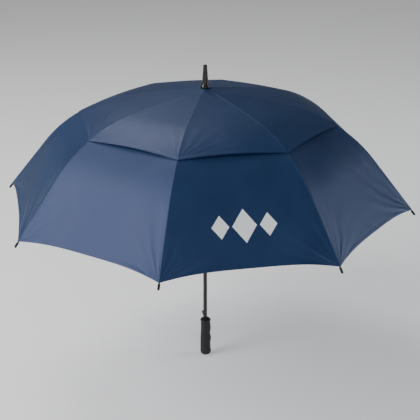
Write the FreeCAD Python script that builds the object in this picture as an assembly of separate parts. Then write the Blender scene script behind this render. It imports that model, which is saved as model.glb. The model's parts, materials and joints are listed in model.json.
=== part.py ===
import FreeCAD, Part
import math
import os
from FreeCAD import Placement, Rotation, Vector

# Golf umbrella, eight ribs, vented double canopy. Millimetres, +Z up the shaft.
# The origin is the centre of the handle's lower end, on the shaft axis.

# Canopy and rib line: slope in degrees at each distance along the rib from the shaft axis.
CROWN_Z = 871.0
RIB_BENDS = [(0.0, 7.0), (250.0, 11.0), (543.0, 51.0), (750.0, 51.0)]
RIB_COUNT = 8
RIB_TURN = -10.7
GORE_HALF = 180.0 / RIB_COUNT
FABRIC = 0.8
LOWER_OFFSET = 0.0
UPPER_OFFSET = -1.4
CANOPY_CORNER = 731.0
RIM_SCALLOP = 17.0
RIM_POWER = 3.5
VENT_INNER = 352.0
VENT_CORNER = 398.0
VENT_SCALLOP = 4.0
VENT_LIFT = 7.0
CROWN_HOLE = 9.5
CREASE_GAP = 0.15

# Ribs, stretchers and their pivots.
ROD_OFFSET = 3.2
ROD_R = 2.0
S_HINGE = 11.0
S_BRACKET = 340.0
S_FLEX = 396.0
S_ROD_END = 744.0
S_TIP = 732.0
BRACKET_DROP = 8.0
STRETCHER_LENGTH = 340.0
STRETCHER_R = 1.6
STRETCHER_FOOT_R = 15.0
EYE_R = 2.4
EYE_WIDTH = 2.8
PIN_R = 0.75
PIN_HOLE_R = 0.80
FLEX_PIN_R = 0.60
FLEX_HOLE_R = 0.65

# Shaft, notch and ferrule.
SHAFT_R = 6.0
SHAFT_BORE_R = 5.0
SHAFT_BOTTOM = 12.0
SHAFT_TOP = 894.0
FIT = 0.02
NOTCH_R = 14.0
NOTCH_BOSS_R = 8.4
NOTCH_BOSS = 11.0
NOTCH_SLOT = 3.4
CAP_BOTTOM = 872.2
CAP_R = 13.4
FERRULE_BOTTOM = 884.0
FERRULE_STEP = 920.0
FERRULE_TOP = 939.5
FERRULE_END_R = 3.0
SPIGOT_R = 4.0
SPIGOT_HEIGHT = 6.0

# Runner and its two catches.
RUNNER_BORE_R = 6.08
RUNNER_R = 9.4
RUNNER_BELOW = 50.0
RUNNER_ABOVE = 7.0
RUNNER_RING_R = 18.0
RUNNER_RING_HALF = 4.5
RUNNER_SLOT = 3.9
RUNNER_SLOT_FLOOR = 11.9
RUNNER_FLANGE_R = 11.6
KEYWAY = 3.0
CATCH_WIDTH = 1.6
CATCH_HEIGHT = 22.0
CATCH_REACH = 12.2
CATCH_PIN = 10.1
CLOSED_CATCH_TOP = 152.0
CLOSED_CATCH_TURN = 180.0
OPEN_CATCH_TURN = 191.8

# Handle: height, reach towards -X, reach towards +X.
GRIP_STATIONS = [
    (0.0, 10.5, 12.5),
    (3.0, 13.6, 16.6),
    (8.0, 14.8, 18.4),
    (20.0, 15.2, 17.4),
    (36.0, 15.2, 16.6),
    (58.0, 15.0, 18.6),
    (74.0, 14.2, 15.8),
    (92.0, 13.6, 17.8),
    (106.0, 13.7, 16.4),
    (118.0, 13.9, 16.0),
]
GRIP_DEPTH = 0.96
COLLAR_R = 16.6
COLLAR_HEIGHT = 9.6
COLLAR_SHIFT = 1.2


def slope(s):
    for (s0, a0), (s1, a1) in zip(RIB_BENDS, RIB_BENDS[1:]):
        if s <= s1:
            return math.radians(a0 + (a1 - a0) * (s - s0) / (s1 - s0))
    return math.radians(RIB_BENDS[-1][1])


def profile(s, offset=0.0):
    """Radius and height of a point s along the rib line, offset inwards from it."""
    r = 0.0
    z = CROWN_Z
    for (s0, a0), (s1, a1) in zip(RIB_BENDS, RIB_BENDS[1:]):
        if s <= s0:
            break
        t0 = math.radians(a0)
        t1 = slope(min(s, s1))
        step = min(s, s1) - s0
        bend = t1 - t0
        if bend < 1e-9:
            r += step * math.cos(t0)
            z -= step * math.sin(t0)
        else:
            r += step / bend * (math.sin(t1) - math.sin(t0))
            z -= step / bend * (math.cos(t0) - math.cos(t1))
    a = slope(s)
    return r - offset * math.sin(a), z - offset * math.cos(a)


def rib_point(s, offset):
    r, z = profile(s, offset)
    return Vector(r, 0, z)


def on_rib(shape, s, offset):
    """Move a shape drawn at the origin, X outwards along the rib, to its place on the rib."""
    moved = shape.copy()
    spot = Placement(rib_point(s, offset), Rotation(Vector(0, 1, 0), math.degrees(slope(s))))
    moved.Placement = spot.multiply(shape.Placement)
    return moved


def block(x0, x1, y0, y1, z0, z1):
    return Part.makeBox(x1 - x0, y1 - y0, z1 - z0, Vector(x0, y0, z0))


def drum(radius, width, x=0.0, z=0.0):
    """A disc across the rib, centred on its plane."""
    return Part.makeCylinder(radius, width, Vector(x, -width / 2, z), Vector(0, 1, 0))


def revolve(points):
    """A turned solid about Z from (radius, height) points."""
    wire = Part.makePolygon([Vector(r, 0, z) for r, z in points + points[:1]])
    return Part.Face(wire).revolve(Vector(0, 0, 0), Vector(0, 0, 1), 360)


def rod(s_start, s_end, offset, radius):
    """A round rod bent along the rib line."""
    knots = [s for s, a in RIB_BENDS if s_start < s < s_end]
    stops = [s_start] + knots + [s_end]
    edges = []
    for a, b in zip(stops, stops[1:]):
        ends = [rib_point(a, offset), rib_point((a + b) / 2, offset), rib_point(b, offset)]
        if slope(b) - slope(a) < 1e-9:
            edges.append(Part.LineSegment(ends[0], ends[2]).toShape())
        else:
            edges.append(Part.Arc(*ends).toShape())
    a = slope(s_start)
    circle = Part.makeCircle(radius, rib_point(s_start, offset), Vector(math.cos(a), 0, -math.sin(a)))
    section = Part.Wire(circle)
    return Part.Wire(edges).makePipeShell([section], True, False)


def fuse(shapes):
    return shapes[0].multiFuse(shapes[1:]).removeSplitter()


def bracket_pivot():
    return rib_point(S_BRACKET, ROD_OFFSET + BRACKET_DROP)


def foot_pivot():
    top = bracket_pivot()
    reach = top.x - STRETCHER_FOOT_R
    return Vector(STRETCHER_FOOT_R, 0, top.z - math.sqrt(STRETCHER_LENGTH**2 - reach**2))


def make_rib_inner():
    root = [drum(EYE_R, EYE_WIDTH), block(0, 7.6, -EYE_WIDTH / 2, EYE_WIDTH / 2, -1.7, 1.7)]
    parts = [on_rib(fuse(root), S_HINGE, ROD_OFFSET)]
    parts.append(rod(S_HINGE + 7.0, S_FLEX - 3.6, ROD_OFFSET, ROD_R))
    sleeve = Part.makeCylinder(2.9, 12, Vector(-6, 0, 0), Vector(1, 0, 0))
    parts.append(on_rib(sleeve, S_BRACKET, ROD_OFFSET))
    for side in (-1, 1):
        y = side * 2.4
        ear = block(-3, 3, y - 0.6, y + 0.6, -BRACKET_DROP, -0.5)
        foot = drum(3.0, 1.2, 0, -BRACKET_DROP)
        foot.translate(Vector(0, y, 0))
        parts += [on_rib(ear, S_BRACKET, ROD_OFFSET), on_rib(foot, S_BRACKET, ROD_OFFSET)]
    parts.append(on_rib(drum(PIN_R, 5.4, 0, -BRACKET_DROP), S_BRACKET, ROD_OFFSET))
    tongue = [drum(1.8, 1.6), block(-4.0, 0, -0.8, 0.8, -1.8, 1.8)]
    parts.append(on_rib(fuse(tongue), S_FLEX, ROD_OFFSET))
    rib = fuse(parts)
    rib = rib.cut(on_rib(drum(PIN_HOLE_R, 10), S_HINGE, ROD_OFFSET))
    return rib.cut(on_rib(drum(FLEX_HOLE_R, 10), S_FLEX, ROD_OFFSET))


def make_rib_outer():
    parts = [rod(S_FLEX + 2.8, S_ROD_END, ROD_OFFSET, ROD_R)]
    for side in (-1, 1):
        y = side * 1.5
        ear = fuse([drum(1.8, 0.8), block(0, 3.6, -0.4, 0.4, -1.3, 1.3)])
        ear.translate(Vector(0, y, 0))
        parts.append(on_rib(ear, S_FLEX, ROD_OFFSET))
    parts.append(on_rib(drum(FLEX_PIN_R, 3.4), S_FLEX, ROD_OFFSET))
    return fuse(parts)


def make_tip():
    tip = revolve([(0, 0), (2.9, 0), (3.3, 1.2), (3.4, 12.5), (2.9, 15.2), (1.7, 16.6), (0, 16.9)])
    tip = tip.cut(Part.makeCylinder(ROD_R + FIT, S_ROD_END - S_TIP + 0.1, Vector(0, 0, -0.01)))
    tip.rotate(Vector(0, 0, 0), Vector(0, 1, 0), 90)
    return on_rib(tip, S_TIP, ROD_OFFSET)


def make_stretcher():
    top = bracket_pivot()
    foot = foot_pivot()
    along = top - foot
    length = along.Length
    bar = Part.makeCylinder(STRETCHER_R, length - 3.0, Vector(1.5, 0, 0), Vector(1, 0, 0))
    arm = fuse([bar, drum(EYE_R, EYE_WIDTH), drum(EYE_R, EYE_WIDTH, length)])
    arm = arm.cut(drum(PIN_HOLE_R, 10))
    arm = arm.cut(drum(PIN_HOLE_R, 10, length))
    tilt = -math.degrees(math.atan2(along.z, along.x))
    arm.Placement = Placement(foot, Rotation(Vector(0, 1, 0), tilt)).multiply(arm.Placement)
    return arm


def bow(share, power=2.0):
    """0 at a rib, 1 half way to the next rib, with a smooth top."""
    return 1.0 - (1.0 - share) ** power


def canopy_point(s, share, offset, lift):
    """A point of the stretched cloth: flat across from rib to rib, plus a lift at its middle."""
    r, z = profile(s, offset)
    half = math.radians(GORE_HALF)
    r_mid = r * math.cos(half)
    turn = share * (half - math.asin(CREASE_GAP / r_mid))
    across = r_mid / math.cos(half - turn)
    a = slope(s)
    rise = lift * bow(share)
    out = across + rise * math.sin(a)
    return Vector(out * math.cos(turn), out * math.sin(turn), z + rise * math.cos(a))


def cloth_surface(s_start, s_end, scallop, power, offset, lift):
    rows = []
    steps = 16
    strips = 8
    for i in range(steps + 1):
        row = []
        for j in range(strips + 1):
            share = j / strips
            edge = s_end - scallop * bow(share, power)
            s = s_start + (edge - s_start) * i / steps
            row.append(canopy_point(s, share, offset, lift * (s / s_end) ** 3))
        rows.append(row)
    surface = Part.BSplineSurface()
    surface.interpolate(rows)
    return surface


def boundary(surface):
    u0, u1, v0, v1 = surface.bounds()
    return [surface.uIso(u0), surface.uIso(u1), surface.vIso(v0), surface.vIso(v1)]


def make_cloth(s_start, s_end, scallop, power, offset, lift):
    """Two half gores, one each side of a rib, as one closed sheet of the fabric's thickness."""
    outer = cloth_surface(s_start, s_end, scallop, power, offset, lift)
    inner = cloth_surface(s_start, s_end, scallop, power, offset + FABRIC, lift)
    faces = [outer.toShape(), inner.toShape()]
    for a, b in zip(boundary(outer), boundary(inner)):
        side = Part.makeRuledSurface(a.toShape(), b.toShape())
        if abs(side.CenterOfMass.y) > 1e-4:
            faces.append(side)
    faces += [f.mirror(Vector(0, 0, 0), Vector(0, 1, 0)) for f in faces]
    shell = Part.makeShell(faces)
    shell.sewShape()
    solid = Part.makeSolid(shell)
    if solid.Volume < 0:
        solid.reverse()
    return solid


def make_shaft():
    tube = Part.makeCylinder(SHAFT_R, SHAFT_TOP - SHAFT_BOTTOM, Vector(0, 0, SHAFT_BOTTOM))
    tube = tube.cut(Part.makeCylinder(SHAFT_BORE_R, SHAFT_TOP, Vector(0, 0, 0)))
    for top, turn in catches():
        base = top - CATCH_HEIGHT
        window = block(3.0, 8.0, -1.1, 1.1, base - 3.0, top + 3.0)
        pin = drum(PIN_R, CATCH_PIN, 2.4, base + 4.0)
        for tool in (window, pin):
            tool.rotate(Vector(0, 0, 0), Vector(0, 0, 1), turn)
        tube = tube.cut(window).fuse(pin)
    return tube


def catches():
    runner_end = foot_pivot().z - RUNNER_BELOW
    return [(CLOSED_CATCH_TOP, CLOSED_CATCH_TURN), (runner_end - 0.5, OPEN_CATCH_TURN)]


def make_catch(top, turn):
    """A flat sprung wedge: pivots in the shaft near its lower end, its shoulder faces up."""
    base = top - CATCH_HEIGHT
    outline = [
        (1.2, base + 1.5),
        (4.6, base + 1.5),
        (CATCH_REACH, top - 1.2),
        (CATCH_REACH - 0.6, top),
        (2.6, top),
    ]
    points = [Vector(x, -CATCH_WIDTH / 2, z) for x, z in outline]
    plate = Part.Face(Part.makePolygon(points + points[:1])).extrude(Vector(0, CATCH_WIDTH, 0))
    plate = plate.cut(drum(PIN_HOLE_R, 10, 2.4, base + 4.0))
    plate.rotate(Vector(0, 0, 0), Vector(0, 0, 1), turn)
    return plate


def rib_turns():
    return [RIB_TURN - 90.0 + 360.0 / RIB_COUNT * k for k in range(RIB_COUNT)]


def make_notch():
    pivot = rib_point(S_HINGE, ROD_OFFSET)
    top = pivot.z + 2.6
    low = pivot.z - 3.4
    notch = revolve([
        (SHAFT_R + FIT, low - NOTCH_BOSS),
        (NOTCH_BOSS_R, low - NOTCH_BOSS),
        (NOTCH_BOSS_R, low),
        (NOTCH_R, low),
        (NOTCH_R, top - 0.8),
        (NOTCH_R - 0.8, top),
        (SHAFT_R + FIT, top),
    ])
    for turn in rib_turns():
        slot = block(pivot.x - 3.2, NOTCH_R + 1, -NOTCH_SLOT / 2, NOTCH_SLOT / 2, low - 1, top + 1)
        slot.rotate(Vector(0, 0, 0), Vector(0, 0, 1), turn)
        notch = notch.cut(slot)
    for turn in rib_turns():
        pin = drum(PIN_R, NOTCH_SLOT + 1.2, pivot.x, pivot.z)
        pin.rotate(Vector(0, 0, 0), Vector(0, 0, 1), turn)
        notch = notch.fuse(pin)
    return notch


def make_runner():
    foot = foot_pivot()
    low = foot.z - RUNNER_BELOW
    top = foot.z + RUNNER_ABOVE
    ring_low = foot.z - RUNNER_RING_HALF
    ring_top = foot.z + RUNNER_RING_HALF
    runner = revolve([
        (RUNNER_BORE_R, low),
        (RUNNER_FLANGE_R - 0.8, low),
        (RUNNER_FLANGE_R, low + 0.8),
        (RUNNER_FLANGE_R, low + 4.5),
        (RUNNER_R, low + 6.5),
        (RUNNER_R, ring_low - 3.0),
        (RUNNER_RING_R - 1.0, ring_low),
        (RUNNER_RING_R, ring_low + 1.0),
        (RUNNER_RING_R, ring_top - 1.0),
        (RUNNER_RING_R - 1.0, ring_top),
        (RUNNER_R, ring_top),
        (RUNNER_R - 1.0, top),
        (RUNNER_BORE_R, top),
    ])
    for turn in rib_turns():
        half = RUNNER_SLOT / 2
        slot = block(RUNNER_SLOT_FLOOR, RUNNER_RING_R + 1, -half, half, ring_low - 5, top + 1)
        slot.rotate(Vector(0, 0, 0), Vector(0, 0, 1), turn)
        runner = runner.cut(slot)
    keyway = block(2.0, CATCH_REACH + 0.8, -KEYWAY / 2, KEYWAY / 2, low - 1, top + 1)
    keyway.rotate(Vector(0, 0, 0), Vector(0, 0, 1), OPEN_CATCH_TURN)
    return runner.cut(keyway)


def make_crown_cap():
    return revolve([
        (SHAFT_R + FIT, CAP_BOTTOM),
        (CAP_R - 0.6, CAP_BOTTOM),
        (CAP_R, CAP_BOTTOM + 0.6),
        (CAP_R, CAP_BOTTOM + 4.5),
        (CAP_R - 0.7, CAP_BOTTOM + 6.5),
        (10.6, FERRULE_BOTTOM - 2.2),
        (9.8, FERRULE_BOTTOM),
        (SHAFT_R + FIT, FERRULE_BOTTOM),
    ])


def make_ferrule():
    spike = revolve([
        (0, FERRULE_BOTTOM),
        (9.5, FERRULE_BOTTOM),
        (9.5, FERRULE_BOTTOM + 1.5),
        (9.1, FERRULE_BOTTOM + 2.5),
        (7.0, FERRULE_STEP - 0.8),
        (6.4, FERRULE_STEP),
        (SPIGOT_R, FERRULE_STEP),
        (SPIGOT_R, FERRULE_STEP + SPIGOT_HEIGHT),
        (0, FERRULE_STEP + SPIGOT_HEIGHT),
    ])
    depth = SHAFT_TOP - FERRULE_BOTTOM + 0.1
    return spike.cut(Part.makeCylinder(SHAFT_R + FIT, depth, Vector(0, 0, FERRULE_BOTTOM)))


def make_ferrule_tip():
    tip = revolve([
        (0, FERRULE_STEP),
        (6.3, FERRULE_STEP),
        (6.4, FERRULE_STEP + 0.8),
        (6.1, FERRULE_STEP + 11.0),
        (5.7, FERRULE_STEP + 12.0),
        (6.1, FERRULE_STEP + 13.0),
        (5.8, FERRULE_TOP - 1.8),
        (4.6, FERRULE_TOP - 0.4),
        (FERRULE_END_R, FERRULE_TOP),
        (0, FERRULE_TOP),
    ])
    return tip.cut(Part.makeCylinder(SPIGOT_R + FIT, SPIGOT_HEIGHT + FIT, Vector(0, 0, FERRULE_STEP)))


def make_grip():
    wires = []
    for z, left, right in GRIP_STATIONS:
        half = (left + right) / 2
        ellipse = Part.Ellipse(Vector((right - left) / 2, 0, z), half, half * GRIP_DEPTH)
        wires.append(Part.Wire(ellipse.toShape()))
    grip = Part.makeLoft(wires, True, False)
    return grip.cut(Part.makeCylinder(SHAFT_R + FIT, 200, Vector(0, 0, SHAFT_BOTTOM)))


def make_collar():
    low = GRIP_STATIONS[-1][0]
    collar = revolve([
        (0, low),
        (15.4, low),
        (COLLAR_R, low + 1.5),
        (COLLAR_R, low + 3.2),
        (15.2, low + 5.0),
        (10.4, low + 9.0),
        (9.0, low + COLLAR_HEIGHT),
        (0, low + COLLAR_HEIGHT),
    ])
    collar.translate(Vector(COLLAR_SHIFT, 0, 0))
    return collar.cut(Part.makeCylinder(SHAFT_R + FIT, 200, Vector(0, 0, 0)))


def save(shape, name):
    shape.exportStep("parts/" + name + ".step")


def main():
    os.makedirs("parts", exist_ok=True)
    closed_catch, open_catch = [make_catch(top, turn) for top, turn in catches()]
    save(make_shaft(), "shaft_tube")
    save(make_notch(), "crown_notch")
    save(make_crown_cap(), "crown_cap")
    save(make_ferrule(), "ferrule")
    save(make_ferrule_tip(), "ferrule_tip")
    save(make_collar(), "handle_collar")
    save(make_grip(), "foam_grip")
    save(make_runner(), "runner")
    save(closed_catch, "closed_catch")
    save(open_catch, "open_catch")
    repeated = {
        "rib_inner": make_rib_inner(),
        "rib_outer": make_rib_outer(),
        "rib_tip": make_tip(),
        "stretcher": make_stretcher(),
        "canopy_upper": make_cloth(CROWN_HOLE, VENT_CORNER, VENT_SCALLOP, 2.0, UPPER_OFFSET, VENT_LIFT),
        "canopy_lower": make_cloth(VENT_INNER, CANOPY_CORNER, RIM_SCALLOP, RIM_POWER, LOWER_OFFSET, 0.0),
    }
    for name, shape in repeated.items():
        for k, turn in enumerate(rib_turns()):
            copy = shape.copy()
            copy.rotate(Vector(0, 0, 0), Vector(0, 0, 1), turn)
            save(copy, name + "_" + str(k + 1))


main()
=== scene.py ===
import json
import math
from dataclasses import dataclass

import bpy
import numpy as np
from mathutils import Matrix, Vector


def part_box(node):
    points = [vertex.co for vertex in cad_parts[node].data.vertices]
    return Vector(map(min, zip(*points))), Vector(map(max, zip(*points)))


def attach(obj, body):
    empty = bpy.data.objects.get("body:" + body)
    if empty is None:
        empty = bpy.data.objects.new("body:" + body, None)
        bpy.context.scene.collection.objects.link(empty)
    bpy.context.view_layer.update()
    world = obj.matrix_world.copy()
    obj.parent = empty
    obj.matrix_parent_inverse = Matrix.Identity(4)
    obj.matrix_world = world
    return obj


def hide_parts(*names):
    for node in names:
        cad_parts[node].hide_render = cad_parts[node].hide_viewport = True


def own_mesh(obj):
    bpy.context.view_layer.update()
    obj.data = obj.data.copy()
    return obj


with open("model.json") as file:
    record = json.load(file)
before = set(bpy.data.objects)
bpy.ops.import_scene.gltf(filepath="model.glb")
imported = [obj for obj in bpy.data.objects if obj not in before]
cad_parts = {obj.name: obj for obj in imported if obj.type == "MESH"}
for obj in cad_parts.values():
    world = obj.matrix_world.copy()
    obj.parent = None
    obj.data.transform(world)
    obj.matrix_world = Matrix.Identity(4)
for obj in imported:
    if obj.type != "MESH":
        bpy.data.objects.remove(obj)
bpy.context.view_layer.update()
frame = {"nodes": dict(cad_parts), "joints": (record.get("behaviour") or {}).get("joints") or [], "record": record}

RECORD = frame["record"]
JOINTS = {joint["name"]: joint for joint in frame["joints"]}
RIBS = range(1, 9)
HALF = math.radians(22.5)  # half the angle of a gore

# ---------------------------------------------------------------- sizes, in metres
# Places on the canopy are distances along the rib line from the shaft's axis.
BENDS = [(0.0, 7.0), (0.250, 11.0), (0.543, 51.0), (0.750, 51.0)]  # distance, slope in degrees
S_HINGE, S_FLEX = 0.011, 0.396
ROD_OFFSET = 0.0032  # from the rib line, on which the lower cloth lies, in to the rod's middle
CROWN_HOLE, VENT_CORNER = 0.0095, 0.398  # the ends of the upper cloth
VENT_INNER, CORNER = 0.352, 0.731  # the ends of the lower cloth, of which the flap is the inner strip
RIM_SCALLOP, RIM_POWER = 0.017, 3.5  # how far the rim curves in at mid gore, and how flat it is there
VENT_SCALLOP, VENT_LIFT = 0.004, 0.007
UPPER_OFFSET = -0.0014
FLAP_OFFSET, FLAP_LAP = 0.0006, 0.006
CLOTH = 0.0005
RIM_HEM, VENT_HEM = 0.007, 0.008
FRONT_GORE = 1


# ---------------------------------------------------------------- the rib line
def slope(s):
    """Slope of the rib line at s, in radians below level."""
    return np.radians(np.interp(s, [b[0] for b in BENDS], [b[1] for b in BENDS]))


def drop(s):
    """Radius and fall below the crown of points s along the rib line."""
    s = np.asarray(s, float)
    r, z = np.zeros_like(s), np.zeros_like(s)
    for (s0, a0), (s1, a1) in zip(BENDS, BENDS[1:]):
        t0 = math.radians(a0)
        step = np.clip(s, s0, s1) - s0
        bend = math.radians(a1 - a0) / (s1 - s0)
        if bend < 1e-9:
            r += step * math.cos(t0)
            z += step * math.sin(t0)
        else:
            t1 = t0 + bend * step
            r += (np.sin(t1) - math.sin(t0)) / bend
            z += (math.cos(t0) - np.cos(t1)) / bend
    return r, z


def half_width(s):
    """Half the width of a gore at s, from its middle to a rib."""
    return drop(s)[0] * math.sin(HALF)


HINGE_Z = JOINTS["rib_hinge_1"]["pos_m"][2]
CROWN_Z = HINGE_Z + float(drop(S_HINGE)[1]) + ROD_OFFSET * math.cos(float(slope(S_HINGE)))


def profile(s, offset=0.0):
    """Radius and height of the rib line at s, moved in under the canopy by offset."""
    r, z = drop(s)
    a = slope(s)
    return r - offset * np.sin(a), CROWN_Z - z - offset * np.cos(a)


def from_rib(k, points):
    """Places points given as outward, sideways and height beside rib k in the umbrella's frame."""
    x, y, _ = JOINTS[f"rib_hinge_{k}"]["axis"]
    outward, sideways = Vector((y, -x, 0)), Vector((x, y, 0))
    return np.asarray(points, float) @ np.array([outward, sideways, (0, 0, 1)])


def gore_beside(k, side):
    """The gore on this side of rib k. Gore k lies between rib k and the next."""
    return k if side > 0 else (k - 2) % 8 + 1


# ---------------------------------------------------------------- cloth shape
FOLD_RATE, FOLD_SIZE = (6.5, 9.0), (0.0014, 0.0022)  # ranges that each fan of folds is drawn from
FOLD_START, FOLD_FADE = 0.025, 0.10  # distances from a corner of the gore
WAVES, WAVE_SIZE = 3, 0.0007
WAVE_RATE_ACROSS, WAVE_RATE_ALONG = (8, 22), (4, 12)
PHASE = (0, 6.28)
FOLD_MARGIN, WAVE_MARGIN = 0.12, 0.35  # shares of the half gore, beside its rib
TOP_MARGIN = 0.05


def bow(share, power=2.0):
    """Rises from 0 at the rib to 1 at mid gore, where it is level."""
    return 1.0 - (1.0 - share) ** power


def smooth(x):
    """A smooth step from 0 to 1."""
    x = np.clip(x, 0.0, 1.0)
    return x * x * (3 - 2 * x)


def folds(s, share, gore, side):
    """Tension folds that spread from the two lower corners of a gore, and slow waves."""
    rng = np.random.default_rng(100 + gore)
    across = (share - 1.0) * side
    x = across * drop(s)[0] * math.sin(HALF)
    to_rib = 1.0 - np.abs(across)
    lift = np.zeros_like(x)
    for corner in (-1.0, 1.0):
        corner_x = corner * float(drop(CORNER)[0]) * math.sin(HALF)
        dx, dy = (x - corner_x) * -corner, CORNER - s
        reach = np.hypot(dx, dy)
        angle = np.arctan2(dy, np.maximum(dx, 1e-6))
        rate, phase = rng.uniform(*FOLD_RATE), rng.uniform(*PHASE)
        size = rng.uniform(*FOLD_SIZE)
        grow = smooth(reach / FOLD_START) * np.exp(-reach / FOLD_FADE)
        edge = smooth(to_rib / FOLD_MARGIN)
        lift += size * grow * edge * np.sin(rate * angle + phase)
    for _ in range(WAVES):
        rate_x, rate_y = rng.uniform(*WAVE_RATE_ACROSS), rng.uniform(*WAVE_RATE_ALONG)
        phase = rng.uniform(*PHASE)
        wave = WAVE_SIZE * np.sin(rate_x * x + rate_y * s * 2 + phase)
        lift += wave * smooth(to_rib / WAVE_MARGIN)
    return lift * smooth((s - S_FLEX) / TOP_MARGIN)


def cloth_points(s, share, offset, rise, side):
    """Outward, sideways and height of the cloth, which rises by rise above the flat taut gore.

    share runs from 0 at the rib to 1 at mid gore.
    """
    r, z = profile(s, offset)
    r_mid = r * math.cos(HALF)
    turn = share * HALF
    across = r_mid / np.cos(HALF - turn)
    a = slope(s)
    out = across + rise * np.sin(a)
    return np.stack([out * np.cos(turn), side * out * np.sin(turn), z + rise * np.cos(a)], -1)


# ---------------------------------------------------------------- meshes
SHARP_ANGLE = math.radians(50)


def mesh_object(name, verts, faces, uv=None):
    """A smooth-shaded mesh object, sharp where two faces meet at more than SHARP_ANGLE."""
    mesh = bpy.data.meshes.new(name)
    mesh.from_pydata([tuple(map(float, v)) for v in verts], [], [tuple(map(int, f)) for f in faces])
    if uv is not None:
        layer = mesh.uv_layers.new(name="cloth")
        index = np.zeros(len(mesh.loops), int)
        mesh.loops.foreach_get("vertex_index", index)
        layer.data.foreach_set("uv", np.asarray(uv, np.float32)[index].ravel())
    mesh.polygons.foreach_set("use_smooth", [True] * len(mesh.polygons))
    mesh.update()
    mesh.set_sharp_from_angle(angle=SHARP_ANGLE)
    o = bpy.data.objects.new(name, mesh)
    bpy.context.scene.collection.objects.link(o)
    return o


def sheet_mesh(name, top, bottom, uv):
    """A closed thin sheet from two grids of points of the same shape."""
    rows, cols = top.shape[:2]
    count = rows * cols
    index = np.arange(count).reshape(rows, cols)
    a, b, c, d = index[:-1, :-1], index[1:, :-1], index[1:, 1:], index[:-1, 1:]
    quads = np.stack([a, b, c, d], -1).reshape(-1, 4).tolist()
    quads += (np.stack([d, c, b, a], -1).reshape(-1, 4) + count).tolist()
    border = [*index[:, 0], *index[-1, 1:], *index[-2::-1, -1], *index[0, -2:0:-1]]
    for p, q in zip(border, border[1:] + border[:1]):
        quads.append([q, p, p + count, q + count])
    verts = np.concatenate([top.reshape(-1, 3), bottom.reshape(-1, 3)])
    return mesh_object(name, verts, quads, np.concatenate([uv.reshape(-1, 2)] * 2))


def area_of(grid):
    """Area of a grid of points, each cell as half the product of its diagonals."""
    d1, d2 = grid[1:, 1:] - grid[:-1, :-1], grid[1:, :-1] - grid[:-1, 1:]
    return float(np.linalg.norm(np.cross(d1, d2), axis=-1).sum() / 2)


# ---------------------------------------------------------------- half gores
STRIPS, STRIP_POWER = 26, 0.92  # strips across a half gore, a little wider beside the rib
HEM_EXTRA, HEM_STEP = 0.0003, 0.0006  # the hem's extra thickness, and the distance it builds up over
STITCH_IN, GROOVE_WIDTH, GROOVE_DEPTH = 0.0016, 0.00045, 0.75  # from the hem's inner side
LIP = 0.0004


@dataclass(frozen=True)
class Cut:
    """A sheet's ends along the rib, the curve of its edge, its place, its hems and its rows."""
    start: float
    end: float
    scallop: float = 0.0
    power: float = 2.0
    offset: float = 0.0
    lift: float = 0.0
    hem_end: float = 0.0
    hem_start: float = 0.0
    folded: bool = False
    steps: int = 60


LOWER_CUT = Cut(S_FLEX, CORNER, RIM_SCALLOP, RIM_POWER, hem_end=RIM_HEM, folded=True, steps=56)
FLAP_CUT = Cut(VENT_INNER, S_FLEX + FLAP_LAP, offset=FLAP_OFFSET, hem_start=VENT_HEM, steps=10)
UPPER_CUT = Cut(CROWN_HOLE, VENT_CORNER, VENT_SCALLOP, offset=UPPER_OFFSET, lift=VENT_LIFT,
                hem_end=VENT_HEM)


def hem_rows(depth):
    """Distances from an edge at which its hem needs a row: inner side, stitch groove, middle, lip."""
    groove = [depth - gap for gap in (0.0, 0.0005, 0.0012, STITCH_IN, 0.0020, 0.0028)]
    return groove + [depth * 0.45, 0.0010, 0.0003, 0.0]


def cloth_grid(cut):
    """A grid's distances along the rib, its shares across the half gore, and its lower edge."""
    share = np.linspace(0, 1, STRIPS + 1)[None, :] ** STRIP_POWER
    edge = cut.end - cut.scallop * bow(share, cut.power)
    first = hem_rows(cut.hem_start)[::-1] if cut.hem_start else [0.0]
    last = hem_rows(cut.hem_end) if cut.hem_end else [0.0]
    low, high = cut.start + first[-1], edge - last[0]
    rows = [np.full_like(edge, cut.start + gap) for gap in first]
    rows += [low + (high - low) * m for m in np.linspace(0, 1, cut.steps + 1)[1:-1]]
    rows += [edge - gap for gap in last]
    s = np.concatenate(rows, 0)
    return s, np.broadcast_to(share, s.shape), edge


def cloth_thickness(cut, s, edge):
    """Thicker in the hems, with a groove along the stitch line and a thin lip at the edge."""
    thick = np.full(s.shape, CLOTH)
    for depth, gap in ((cut.hem_end, edge - s), (cut.hem_start, s - cut.start)):
        if depth:
            stitch = np.exp(-((gap - (depth - STITCH_IN)) / GROOVE_WIDTH) ** 2)
            thick = thick + HEM_EXTRA * smooth((depth - gap) / HEM_STEP) * (1 - GROOVE_DEPTH * stitch)
            thick = thick - LIP * smooth((LIP - gap) / LIP)
    return thick


def half_gore(name, k, side, cut):
    """One half gore of cloth beside rib k, with its flat width and length and its flat area."""
    s, share, edge = cloth_grid(cut)
    extra = (cloth_thickness(cut, s, edge) - CLOTH) / 2
    rise = cut.lift * (s / cut.end) ** 3 * bow(share)
    if cut.folded:
        rise = rise + folds(s, share, gore_beside(k, side), side)
    top = from_rib(k, cloth_points(s, share, cut.offset - extra, rise, side))
    bottom = from_rib(k, cloth_points(s, share, cut.offset + CLOTH + extra, rise, side))
    uv = np.stack([s, side * (share - 1.0) * half_width(s)], -1)
    if side < 0:
        top, bottom, uv = top[:, ::-1], bottom[:, ::-1], uv[:, ::-1]
    flat = (round(float(half_width(cut.end)), 3), round(cut.end - cut.start, 3))
    return sheet_mesh(name, top, bottom, uv), flat, round(area_of(top), 5)


# ---------------------------------------------------------------- pleat sizes, listed but not applied to the cloth
@dataclass(frozen=True)
class Fold:
    """A pleat: the ends of its chord on the rib, its tilt in degrees and the share of width it keeps.

    shift is how far from the rib's middle plane it gathers.
    """
    start: float
    end: float
    tilt: float
    keep: float
    shift: float


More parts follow.
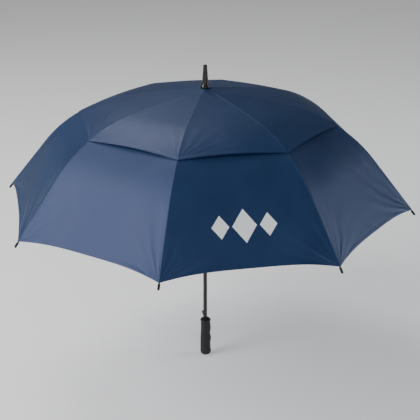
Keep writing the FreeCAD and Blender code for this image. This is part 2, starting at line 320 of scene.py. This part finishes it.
UPPER_FOLD = Fold(CROWN_HOLE, VENT_CORNER, tilt=32.0, keep=0.034, shift=0.0008)
LOWER_FOLD = Fold(S_FLEX, CORNER, tilt=31.4, keep=0.02, shift=0.0007)


def gather(o, fold):
    """Gives a half gore a mesh of its own; the pleat's chord is worked out but nothing is gathered."""
    (r0, z0), (r1, z1) = [tuple(float(v) for v in profile(s)) for s in (fold.start, fold.end)]
    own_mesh(o)


# ---------------------------------------------------------------- seam tapes
LOWER_SEAM, UPPER_SEAM = (S_FLEX + 0.007, CORNER - 0.001), (0.014, VENT_CORNER - 0.007)
TAPE_WIDTH, TAPE_HEIGHT, TAPE_SUNK = 0.0046, 0.0003, 0.0001
TAPE_END, TAPE_THIN = 0.006, 0.3  # the length it thins over at each end, and the share of height left
TAPE_STEPS = 60
# Half of a tape's section: share of its half width, share of its height, with the stitch groove at 0.7.
HALF_SECTION = [(0.0, 1.0), (0.3, 1.0), (0.6, 0.95), (0.7, 0.45), (0.8, 0.9), (0.93, 0.75), (1.0, 0.0)]
SECTION = np.array([(-x, height) for x, height in HALF_SECTION[:0:-1]] + HALF_SECTION)


def seam_tape(name, k, s_start, s_end, offset):
    """The felled seam over a rib: a narrow raised strip with its two stitch grooves."""
    s = np.linspace(s_start, s_end, TAPE_STEPS + 1)[:, None]
    x = SECTION[None, :, 0] * TAPE_WIDTH / 2
    ends = smooth((s - s_start) / TAPE_END) * smooth((s_end - s) / TAPE_END)
    s, x = np.broadcast_arrays(s, x)
    height = TAPE_HEIGHT * SECTION[None, :, 1] * (TAPE_THIN + (1 - TAPE_THIN) * ends) - TAPE_SUNK
    grids = []
    for extra in (height, np.full(s.shape, -2 * TAPE_SUNK)):
        r, z = profile(s, offset - extra)
        a = slope(s)
        fall = np.abs(x) * np.sin(a) * math.tan(HALF)
        grids.append(from_rib(k, np.stack([r - fall * np.sin(a), x, z - fall * np.cos(a)], -1)))
    return sheet_mesh(name, grids[0], grids[1], np.stack([s, x], -1))


# ---------------------------------------------------------------- materials
class Surface:
    """A material with one shader, and short names for the nodes that feed it."""

    def __init__(self, name):
        self.material = bpy.data.materials.new(name)
        self.material.use_nodes = True
        self.nodes = self.material.node_tree.nodes
        self.links = self.material.node_tree.links
        self.shader = self.nodes["Principled BSDF"]
        self.place = self.nodes.new("ShaderNodeTexCoord").outputs["Object"]

    def feed(self, socket, value):
        """Sets a socket to a number or a colour, or links it to another node's output."""
        if isinstance(value, tuple):
            socket.default_value = (*value, 1)
        elif isinstance(value, (int, float)):
            socket.default_value = value
        else:
            self.links.new(value, socket)

    def look(self, name, value):
        """Sets one of the shader's own inputs."""
        self.feed(self.shader.inputs[name], value)

    def calc(self, kind, *values):
        """One step of arithmetic."""
        node = self.nodes.new("ShaderNodeMath")
        node.operation = kind
        for socket, value in zip(node.inputs, values):
            self.feed(socket, value)
        return node.outputs[0]

    def noise(self, scale, detail=3.0, rough=0.5, at=None):
        """A random pattern over the object, or over the coordinates called at."""
        node = self.nodes.new("ShaderNodeTexNoise")
        node.inputs["Scale"].default_value = scale
        node.inputs["Detail"].default_value = detail
        node.inputs["Roughness"].default_value = rough
        self.links.new(self.place if at is None else at, node.inputs["Vector"])
        return node.outputs["Fac"]

    def mix(self, share, a, b):
        """Colour a, which turns to colour b as share goes from 0 to 1."""
        node = self.nodes.new("ShaderNodeMix")
        node.data_type = "RGBA"
        for socket, value in ((node.inputs[0], share), (node.inputs[6], a), (node.inputs[7], b)):
            self.feed(socket, value)
        return node.outputs[2]

    def ramp(self, value, first, middle, last):
        """A colour that runs through three stops, each a position and a colour."""
        node = self.nodes.new("ShaderNodeValToRGB")
        elements = node.color_ramp.elements
        for element, (position, colour) in zip(elements, (first, last)):
            element.position = position
            element.color = (*colour, 1)
        elements.new(middle[0]).color = (*middle[1], 1)
        self.links.new(value, node.inputs[0])
        return node.outputs[0]

    def bump(self, height, strength, distance, under=None):
        """A bump in the surface, over the bump called under."""
        node = self.nodes.new("ShaderNodeBump")
        node.inputs["Strength"].default_value = strength
        node.inputs["Distance"].default_value = distance
        self.links.new(height, node.inputs["Height"])
        if under is not None:
            self.links.new(under, node.inputs["Normal"])
        return node.outputs[0]


NAVY, NAVY_DEEP, NAVY_WORN = (0.0085, 0.029, 0.082), (0.0070, 0.026, 0.074), (0.0100, 0.032, 0.089)
THREAD, PRINT_WHITE = (0.03, 0.06, 0.12), (0.80, 0.82, 0.84)
WEAVE_PITCH, WEAVE_DEPTH = 0.0011, 0.4
STITCH_PITCH, STITCH_SHARE = 0.0032, 0.68
TAPE_STITCH, THREAD_HALF = 0.0016, 0.00035
CREASE_RATE, CREASE_WANDER, CREASE_FADE, CREASE_PATCHES = 24.0, 7.0, 14.0, 1.6
CRUMPLE_SIZE = 0.030
PRINT_AT = 0.600
LOZENGES = [(-0.066, 0.024, 0.032), (0.0, 0.034, 0.046), (0.066, 0.024, 0.032)]  # middle, half sizes


def creases(m, along, across, corner):
    """Fine creases that run out of a gore's corners, which lie at this distance along the rib."""
    dx = m.calc("SUBTRACT", float(half_width(corner)), m.calc("ABSOLUTE", across))
    dy = m.calc("SUBTRACT", corner, along)
    reach = m.calc("SQRT", m.calc("ADD", m.calc("POWER", dx, 2.0), m.calc("POWER", dy, 2.0)))
    wander = m.calc("MULTIPLY", m.noise(11.0, 2.0), CREASE_WANDER)
    turn = m.calc("MULTIPLY_ADD", m.calc("ARCTAN2", dy, dx), CREASE_RATE, wander)
    fade = m.calc("EXPONENT", m.calc("MULTIPLY", reach, -CREASE_FADE))
    patch = m.calc("MULTIPLY", m.noise(7.0, 1.0), CREASE_PATCHES)
    ripple = m.calc("MULTIPLY", m.calc("SINE", turn), reach)
    ripple = m.calc("MULTIPLY", ripple, m.calc("MULTIPLY", fade, patch))
    crumple = m.calc("MULTIPLY", m.noise(34.0, 5.0, 0.6), CRUMPLE_SIZE)
    return m.calc("ADD", ripple, crumple)


def stitched(m, colour, along, across):
    """Two dashed lines of thread along a seam tape."""
    dash = m.calc("FRACT", m.calc("MULTIPLY", along, 1 / STITCH_PITCH))
    on = m.calc("LESS_THAN", dash, STITCH_SHARE)
    near = m.calc("ABSOLUTE", m.calc("SUBTRACT", m.calc("ABSOLUTE", across), TAPE_STITCH))
    line = m.calc("LESS_THAN", near, THREAD_HALF)
    return m.mix(m.calc("MULTIPLY", m.calc("MULTIPLY", on, line), 0.55), colour, THREAD)


def printed(m, colour, along, across):
    """A plain white pattern: a row of three lozenges, the middle one larger."""
    y = m.calc("ABSOLUTE", m.calc("SUBTRACT", along, PRINT_AT))
    mask = 0.0
    for middle, half_across, half_along in LOZENGES:
        x = m.calc("ABSOLUTE", m.calc("SUBTRACT", across, middle))
        reach = m.calc("ADD", m.calc("DIVIDE", x, half_across), m.calc("DIVIDE", y, half_along))
        mask = m.calc("MAXIMUM", mask, m.calc("LESS_THAN", reach, 1.0))
    return m.mix(m.calc("MULTIPLY", mask, 0.96), colour, PRINT_WHITE)


def woven(m, along, across, slub):
    """The height of a plain weave with uneven threads."""
    rate = 2 * math.pi / WEAVE_PITCH
    warp = m.calc("SINE", m.calc("MULTIPLY", along, rate))
    weft = m.calc("SINE", m.calc("MULTIPLY", across, rate))
    return m.calc("ADD", m.calc("MULTIPLY", m.calc("MULTIPLY", warp, weft), WEAVE_DEPTH), slub)


def fabric(name, mark=False, tape=False, corner=CORNER, crease=0.014):
    """Polyester canopy cloth: plain weave, creases, slight sheen, uneven dye, print or stitching."""
    m = Surface(name)
    uv = m.nodes.new("ShaderNodeUVMap")
    uv.uv_map = "cloth"
    split = m.nodes.new("ShaderNodeSeparateXYZ")
    m.links.new(uv.outputs[0], split.inputs[0])
    along, across = split.outputs[0], split.outputs[1]
    cloud = m.noise(9.0, 4.0, 0.55)
    slub = m.noise(420.0, 2.0)
    colour = m.ramp(cloud, (0.36, NAVY_DEEP), (0.52, NAVY), (0.70, NAVY_WORN))
    colour = m.mix(m.calc("MULTIPLY", slub, 0.22), colour, NAVY_DEEP)
    if tape:
        colour = stitched(m, colour, along, across)
    if mark:
        colour = printed(m, colour, along, across)
    m.look("Base Color", colour)
    m.look("Roughness", m.calc("MULTIPLY_ADD", cloud, 0.14, 0.52 if tape else 0.38))
    m.look("Specular IOR Level", 0.53)
    m.look("Specular Tint", (0.61, 0.62, 1.0))
    m.look("Sheen Weight", 0.01)
    m.look("Sheen Roughness", 0.45)
    m.look("Sheen Tint", (0.45, 0.6, 0.9))
    broad = m.bump(creases(m, along, across, corner), 1.0, crease)
    m.look("Normal", m.bump(woven(m, along, across, slub), 0.25, 0.0003, broad))
    return m.material


def plastic(name, base, light, rough, grain=900.0, strength=0.12, level=0.5, coat=0.0):
    """Moulded plastic: clouded colour, and a fine grain in its gloss and its height."""
    m = Surface(name)
    fine = m.noise(grain)
    m.look("Base Color", m.mix(m.noise(60.0, 4.0), base, light))
    m.look("Roughness", m.calc("MULTIPLY_ADD", fine, 0.16, rough - 0.08))
    m.look("Specular IOR Level", level)
    m.look("Coat Weight", coat)
    m.look("Coat Roughness", 0.12)
    m.look("Normal", m.bump(fine, strength, 0.0002))
    return m.material


def foam(name):
    """Closed-cell foam: clouded colour, fine pores with painted shade in their pits, and lighter flecks."""
    m = Surface(name)
    cells = m.nodes.new("ShaderNodeTexVoronoi")
    cells.inputs["Scale"].default_value = 900.0
    m.links.new(m.place, cells.inputs["Vector"])
    depth = cells.outputs["Distance"]
    fleck = m.calc("GREATER_THAN", m.noise(560.0, 2.0), 0.57)
    pore_shade = m.calc("LESS_THAN", depth, 0.22)
    colour = m.mix(m.noise(45.0, 4.0), (0.012, 0.012, 0.013), (0.022, 0.022, 0.023))
    colour = m.mix(m.calc("MULTIPLY", fleck, 0.6), colour, (0.034, 0.034, 0.035))
    # Painted shade: the pits of the pores, where the bump dips, are painted darker.
    colour = m.mix(m.calc("MULTIPLY", pore_shade, 0.5), colour, (0.006, 0.006, 0.006))
    m.look("Base Color", colour)
    m.look("Roughness", 0.78)
    m.look("Specular IOR Level", 0.35)
    m.look("Sheen Weight", 0.04)
    m.look("Normal", m.bump(depth, 0.4, 0.0003))
    return m.material


def metal(name, base, light, rough, metallic):
    """Drawn metal or the paint on it: clouded colour, and fine streaks along Z in its gloss and height."""
    m = Surface(name)
    stretch = m.nodes.new("ShaderNodeMapping")
    stretch.inputs["Scale"].default_value = (900, 900, 14)
    m.links.new(m.place, stretch.inputs["Vector"])
    streak = m.noise(1.0, at=stretch.outputs[0])
    m.look("Base Color", m.mix(m.noise(35.0), base, light))
    m.look("Metallic", metallic)
    m.look("Roughness", m.calc("MULTIPLY_ADD", streak, 0.14, rough - 0.07))
    m.look("Normal", m.bump(streak, 0.06, 0.0001))
    return m.material


CANOPY = fabric("canopy_cloth")
CANOPY_MARK = fabric("canopy_cloth_mark", mark=True)
CANOPY_UPPER = fabric("canopy_cloth_upper", corner=VENT_CORNER, crease=0.005)
TAPE = fabric("canopy_tape", tape=True)
LOOKS = {  # by the record's material slots
    "shaft": metal("shaft_paint", (0.006, 0.006, 0.007), (0.011, 0.011, 0.012), 0.42, 0.0),
    "rib": plastic("rib_fibreglass", (0.014, 0.014, 0.015), (0.026, 0.026, 0.028), 0.36),
    "stretcher": metal("stretcher_paint", (0.016, 0.016, 0.017), (0.030, 0.030, 0.032), 0.34, 0.2),
    "black_plastic": plastic("moulded_black", (0.008, 0.008, 0.009), (0.015, 0.015, 0.016), 0.44,
                             level=0.4),
    "tip_plastic": plastic("tip_black", (0.005, 0.005, 0.006), (0.010, 0.010, 0.011), 0.50, level=0.25),
    "ferrule": plastic("ferrule_gloss", (0.006, 0.006, 0.006), (0.012, 0.011, 0.011), 0.30,
                       grain=300.0, strength=0.03, level=0.4, coat=0.3),
    "ferrule_tip": plastic("ferrule_tip_dark", (0.009, 0.008, 0.008), (0.016, 0.015, 0.015), 0.34),
    "catch_steel": metal("catch_steel", (0.07, 0.065, 0.06), (0.12, 0.11, 0.10), 0.38, 1.0),
}


def paint(o, material):
    """Gives an object this one material."""
    o.data.materials.clear()
    o.data.materials.append(material)


for row in RECORD["subparts"]:
    if row["material_slot"] in LOOKS:
        paint(frame["nodes"][row["node"]], LOOKS[row["material_slot"]])


# ---------------------------------------------------------------- canopy pieces
def add_cloth(name, k, side, cut, fold, body, material):
    """A half gore that rides on one of rib k's bodies."""
    o, flat, area = half_gore(name, k, side, cut)
    paint(o, material)
    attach(o, body)
    gather(o, fold)
    return o


def add_tape(name, k, s_start, s_end, offset, body):
    """A seam tape that rides on one of rib k's bodies."""
    tape = seam_tape(name, k, s_start, s_end, offset)
    paint(tape, TAPE)
    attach(tape, body)


def add_canopy(k):
    """The cloth and the tapes that rib k carries."""
    rib, rib_end = f"rib_{k}", f"rib_end_{k}"
    for side, tag in ((1, "a"), (-1, "b")):
        cloth = CANOPY_MARK if gore_beside(k, side) == FRONT_GORE else CANOPY
        lower = add_cloth(f"lower_cloth_{k}{tag}", k, side, LOWER_CUT, LOWER_FOLD, rib_end, cloth)
        add_cloth(f"vent_flap_{k}{tag}", k, side, FLAP_CUT, UPPER_FOLD, rib, CANOPY)
        upper = add_cloth(f"upper_cloth_{k}{tag}", k, side, UPPER_CUT, UPPER_FOLD, rib, CANOPY_UPPER)
        if side > 0:
            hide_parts(f"canopy_lower_{k}")
            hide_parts(f"canopy_upper_{k}")
    add_tape(f"lower_seam_{k}", k, *LOWER_SEAM, 0.0, rib_end)
    add_tape(f"upper_seam_{k}", k, *UPPER_SEAM, UPPER_OFFSET, rib)


for k in RIBS:
    add_canopy(k)


# ---------------------------------------------------------------- grip
STATIONS = np.array([
    (0.0, 10.5, 12.5), (3.0, 13.6, 16.6), (8.0, 14.8, 18.4), (20.0, 15.2, 17.4), (36.0, 15.2, 16.6),
    (58.0, 15.0, 18.6), (74.0, 14.2, 15.8), (92.0, 13.6, 17.8), (106.0, 13.7, 16.4), (118.0, 13.9, 16.0),
]) / 1000  # height, reach on the palm's side, reach on the fingers' side
GRIP_DEPTH = 0.96
GRIP_RINGS, GRIP_SIDES = 72, 64
GRIP_BORE, BORE_FLOOR = 0.0061, 0.012
TOP_ROUNDING = 0.985


def through(x, xs, ys):
    """A smooth curve through the stations (cubic, with slopes from the neighbours)."""
    slopes = np.gradient(ys, xs)
    i = np.clip(np.searchsorted(xs, x) - 1, 0, len(xs) - 2)
    h = xs[i + 1] - xs[i]
    t = (x - xs[i]) / h
    a, b = (1 + 2 * t) * (1 - t) ** 2, t * (1 - t) ** 2
    c, d = t * t * (3 - 2 * t), t * t * (t - 1)
    return a * ys[i] + b * h * slopes[i] + c * ys[i + 1] + d * h * slopes[i + 1]


def grip_ring(middle, reach, depth, z):
    """An oval ring of the grip: its middle and half width along X, its share of that along Y."""
    turn = np.linspace(0, 2 * math.pi, GRIP_SIDES, endpoint=False)
    level = np.full(GRIP_SIDES, z)
    return np.stack([middle + reach * np.cos(turn), reach * depth * np.sin(turn), level], -1)


def make_grip():
    """The grip's outside and its bore, which the tube fills."""
    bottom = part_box("foam_grip")[0].z
    heights = np.linspace(0, STATIONS[-1, 0], GRIP_RINGS)
    palm, fingers = [through(heights, STATIONS[:, 0], STATIONS[:, side]) for side in (1, 2)]
    rings = [grip_ring((b - a) / 2, (a + b) / 2, GRIP_DEPTH, bottom + z)
             for z, a, b in zip(heights, palm, fingers)]
    rings[-1] = rings[-1] * [TOP_ROUNDING, TOP_ROUNDING, 1]
    rings += [grip_ring(0.0, GRIP_BORE, 1.0, bottom + z) for z in (heights[-1], BORE_FLOOR)]
    index = np.arange(len(rings) * GRIP_SIDES).reshape(len(rings), GRIP_SIDES)
    faces = []
    for a, b in zip(index, index[1:]):
        faces += np.stack([a, np.roll(a, -1), np.roll(b, -1), b], -1).tolist()
    faces += [index[0][::-1].tolist(), index[-1].tolist()]
    return mesh_object("grip_foam", np.concatenate(rings), faces)


grip = make_grip()
paint(grip, foam("grip_foam_black"))
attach(grip, "shaft")
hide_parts("foam_grip")


# ---------------------------------------------------------------- room, light, camera
LIGHT_AIM = Vector((0, 0, 0.7))
LIGHT_DISTANCE, LIGHT_SIZE = 4.2, 1.8
FLOOR_REACH, FLOOR_LEVEL, FLOOR_GLOW = 25.0, -0.003, 0.27


def soft_light(name, azimuth, elevation, power, colour=(1.0, 1.0, 1.0)):
    """A square soft light. Azimuth 0 is the front, positive to the right; elevation is above the aim."""
    data = bpy.data.lights.new(name, "AREA")
    data.shape, data.size = "SQUARE", LIGHT_SIZE
    data.energy, data.color = power, colour
    o = bpy.data.objects.new(name, data)
    bpy.context.scene.collection.objects.link(o)
    az, el = math.radians(azimuth), math.radians(elevation)
    direction = Vector((math.sin(az) * math.cos(el), -math.cos(az) * math.cos(el), math.sin(el)))
    o.location = LIGHT_AIM + LIGHT_DISTANCE * direction
    o.rotation_euler = direction.to_track_quat("Z", "Y").to_euler()


def make_floor():
    """A wide pale floor just under the handle, glowing faintly so that it stays pale far off."""
    corners = [(-1, -1), (1, -1), (1, 1), (-1, 1)]
    verts = [(x * FLOOR_REACH, y * FLOOR_REACH, FLOOR_LEVEL) for x, y in corners]
    floor = mesh_object("floor", verts, [[0, 1, 2, 3]])
    m = Surface("floor_paper")
    m.look("Base Color", m.mix(m.noise(3.0), (0.80, 0.80, 0.80), (0.84, 0.84, 0.84)))
    m.look("Roughness", 0.9)
    m.look("Specular IOR Level", 0.1)
    m.look("Emission Color", (1.0, 1.0, 1.0))
    m.look("Emission Strength", FLOOR_GLOW)
    paint(floor, m.material)


make_floor()
world = bpy.data.worlds.new("studio")
bpy.context.scene.world = world
world.use_nodes = True
world.node_tree.nodes["Background"].inputs[0].default_value = (0.93, 0.95, 1.0, 1)
world.node_tree.nodes["Background"].inputs[1].default_value = 0.12

soft_light("left_key", -60, 20, 95)
soft_light("left_side", -80, 38, 85)
soft_light("left_back", -145, 54, 70)
soft_light("front_fill", 5, 10, 50)
soft_light("right_side", 95, 12, 60, (0.80, 0.90, 1.0))

ELEVATION, DISTANCE = math.radians(21.7), 3.063
AIM_Z = 0.4915
camera = bpy.data.objects.new("camera", bpy.data.cameras.new("camera"))
bpy.context.scene.collection.objects.link(camera)
bpy.context.scene.camera = camera
camera.location = (0, -DISTANCE * math.cos(ELEVATION), AIM_Z + DISTANCE * math.sin(ELEVATION))
camera.rotation_euler = (math.pi / 2 - ELEVATION, 0, 0)
camera.data.sensor_width = 36
camera.data.lens = 86.87
camera.data.shift_x = 0.0115
camera.data.shift_y = 0.0006
